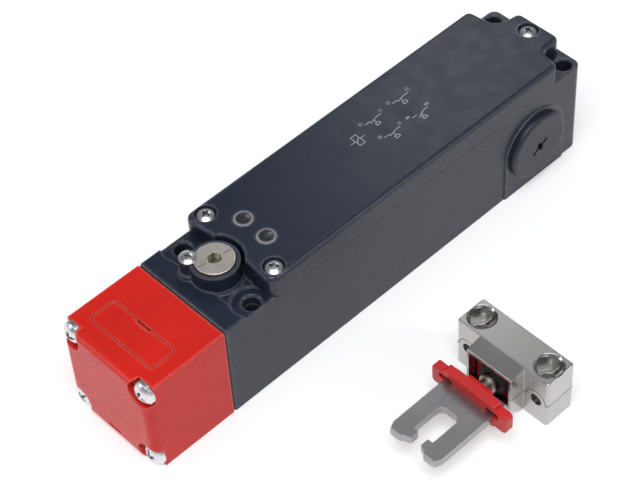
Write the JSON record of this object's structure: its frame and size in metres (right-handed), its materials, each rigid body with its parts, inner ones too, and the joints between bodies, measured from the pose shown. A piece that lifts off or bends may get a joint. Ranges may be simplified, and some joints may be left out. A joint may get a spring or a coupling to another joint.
{
  "type": "tongue interlock switch",
  "caption": "Tongue interlock switch in a long blue-grey housing with a red head and a bright hexagon release, with its separate metal actuator, whose sprung joint carries a hooked tongue.",
  "frame": {"origin": "centre of the four fixing holes, on the switch's mounting face", "axes": "+X along the switch from its red head to its far cable entry, +Z out of the mounting face towards the cover; the separate actuator lies on the -Y side on the same plane, its tongue pointing along -X"},
  "size_m": [0.1972, 0.1168, 0.0471],
  "materials": {
    "body_plastic": "semi-matt glass-filled polymer, dark blue-grey",
    "plug_plastic": "semi-matt polymer, dark blue-grey",
    "red_plastic": "satin moulded polymer, signal red",
    "dark_red_plastic": "satin moulded polymer, dark red",
    "flange_red": "satin moulded polymer, red",
    "inner_plastic": "matt technical polymer, light grey",
    "clear_lens": "clear moulded lens",
    "led_epoxy": "cast epoxy",
    "board_green": "solder mask",
    "black_rubber": "moulded rubber",
    "plated_screw": "bright zinc plating",
    "nickel_brass": "fine cast surface, nickel plated",
    "nickel_die_cast": "satin nickel plating on die casting",
    "stainless": "ground stainless sheet",
    "steel_pin": "ground steel",
    "spring_steel": "drawn wire",
    "sintered_steel": "as sintered",
    "plated_sheet": "zinc-plated sheet",
    "brass_contact": "rolled strip",
    "coil_winding": "enamelled copper winding"
  },
  "bodies": {
    "switch": {"housing": "body_plastic", "cover": "body_plastic", "cover_gasket": "black_rubber", "cover_screws": "plated_screw", "led_lenses": "clear_lens", "led_board": "board_green", "leds": "led_epoxy", "head_housing": "red_plastic", "head_gasket": "black_rubber", "head_screws": "plated_screw", "end_slot_plug": "red_plastic", "top_slot_plug": "red_plastic", "rotor_axle": "steel_pin", "rod_guide": "sintered_steel", "rod_spring": "spring_steel", "release_o_ring": "black_rubber", "release_retaining_screw": "plated_screw", "core_spring": "spring_steel", "solenoid_frame": "plated_sheet", "solenoid_coil": "coil_winding", "contact_block": "inner_plastic", "fixed_contacts": "brass_contact", "terminal_clamps": "plated_sheet", "terminal_screws": "plated_screw", "earth_screw": "plated_screw", "conduit_plugs": "plug_plastic", "conduit_seals": "black_rubber"},
    "rotor": {"tongue_rotor": "sintered_steel"},
    "push_rod": {"push_rod": "inner_plastic", "contact_bridges": "brass_contact"},
    "release": {"release_spindle": "nickel_brass", "release_clip": "spring_steel", "release_cam": "sintered_steel"},
    "lock_core": {"lock_bolt": "sintered_steel", "solenoid_core": "steel_pin"},
    "actuator": {"actuator_base_lower": "nickel_die_cast", "actuator_base_upper": "nickel_die_cast"},
    "carrier": {"joint_carrier": "dark_red_plastic", "adjusting_screws": "plated_screw", "joint_bellows": "black_rubber"},
    "tongue_unit": {"tongue": "stainless", "tongue_flange": "flange_red", "stem_ring": "stainless"}
  },
  "joints": [
    {"name": "rotor_turn", "type": "hinge", "parent": "switch", "child": "rotor", "pos_m": [-0.09565, 0, 0.0195], "axis": [0, -1, 0], "range_deg": [0, 50]},
    {"name": "push_rod_slide", "type": "slide", "parent": "switch", "child": "push_rod", "axis": [-1, 0, 0], "range_m": [0, 0.003], "deforming": ["rod_spring"]},
    {"name": "release_turn", "type": "hinge", "parent": "switch", "child": "release", "pos_m": [-0.0715, 0, 0.03], "axis": [0, 0, 1], "range_deg": [0, 180]},
    {"name": "lock_slide", "type": "slide", "parent": "switch", "child": "lock_core", "axis": [1, 0, 0], "range_m": [0, 0.004], "deforming": ["core_spring"]},
    {"name": "actuator_slide", "type": "slide", "parent": "switch", "child": "actuator", "axis": [1, 0, 0], "range_m": [-0.06, 0.06]},
    {"name": "carrier_tilt", "type": "hinge", "parent": "actuator", "child": "carrier", "pos_m": [-0.0202, -0.07505, 0.0103], "axis": [0, 1, 0], "range_deg": [-5, 5], "stiffness_Nm_per_rad": 0.5},
    {"name": "tongue_swing", "type": "hinge", "parent": "carrier", "child": "tongue_unit", "pos_m": [-0.0202, -0.07505, 0.0103], "axis": [0, 0, 1], "range_deg": [-5, 5], "stiffness_Nm_per_rad": 0.3}
  ],
  "couplings": [
    {"joint": "push_rod_slide", "follows": "rotor_turn", "m_per_rad": 0.003437},
    {"joint": "lock_slide", "follows": "release_turn", "m_per_rad": 0.001273}
  ]
}
